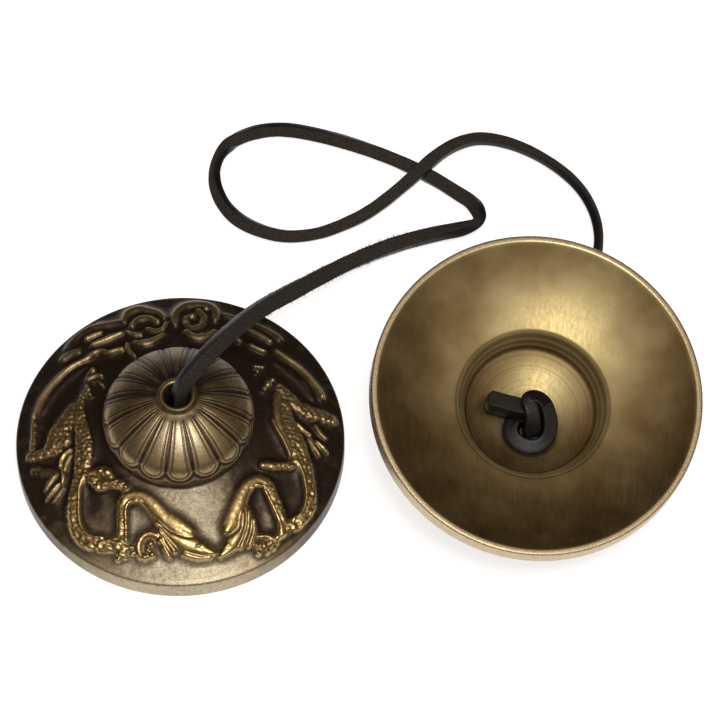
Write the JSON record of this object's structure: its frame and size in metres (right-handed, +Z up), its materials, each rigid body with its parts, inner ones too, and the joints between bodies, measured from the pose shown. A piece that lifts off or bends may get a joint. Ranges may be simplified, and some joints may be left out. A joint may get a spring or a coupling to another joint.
{
  "type": "tingsha cymbals",
  "caption": "Pair of small cast brass hand cymbals with a dragon relief and a lotus boss, joined by a leather thong knotted inside each cup.",
  "frame": {"origin": "on the table, at the middle of the two cymbals' box", "axes": "+Z up from the table, +X from the cymbal that stands on its rim to the one that lies on its boss, +Y towards the thong's loop"},
  "size_m": [0.1348, 0.1074, 0.0314],
  "materials": {
    "brass": "antique cast brass, dark patina in the recesses",
    "leather": "black-brown leather strip, one smooth side and one suede side"
  },
  "bodies": {
    "left_cymbal": {"left_cymbal": "brass"},
    "left_end": {"left_knot": "leather"},
    "thong": {"left_thong_bend": "leather", "thong": "leather", "right_thong_bend": "leather"},
    "right_end": {"right_knot": "leather"},
    "right_cymbal": {"right_cymbal": "brass"}
  },
  "joints": [
    {"name": "left_spin", "type": "hinge", "parent": "left_cymbal", "child": "left_end", "pos_m": [-0.035, 0, 0], "axis": [0, 0, 1], "continuous": true},
    {"name": "left_swing", "type": "hinge", "parent": "left_end", "child": "thong", "pos_m": [-0.035, 0, 0.02277], "axis": [0.682, -0.7314, 0], "range_deg": [0, 75], "deforming": ["left_thong_bend"]},
    {"name": "right_swing", "type": "hinge", "parent": "thong", "child": "right_end", "pos_m": [0.03279, 0.00393, 0.00204], "axis": [0.8988, 0.4384, 0], "range_deg": [-10, 25], "deforming": ["right_thong_bend"]},
    {"name": "right_spin", "type": "hinge", "parent": "right_end", "child": "right_cymbal", "pos_m": [0.03279, 0.00393, 0.00204], "axis": [0.0971, -0.1991, 0.9751], "continuous": true}
  ]
}
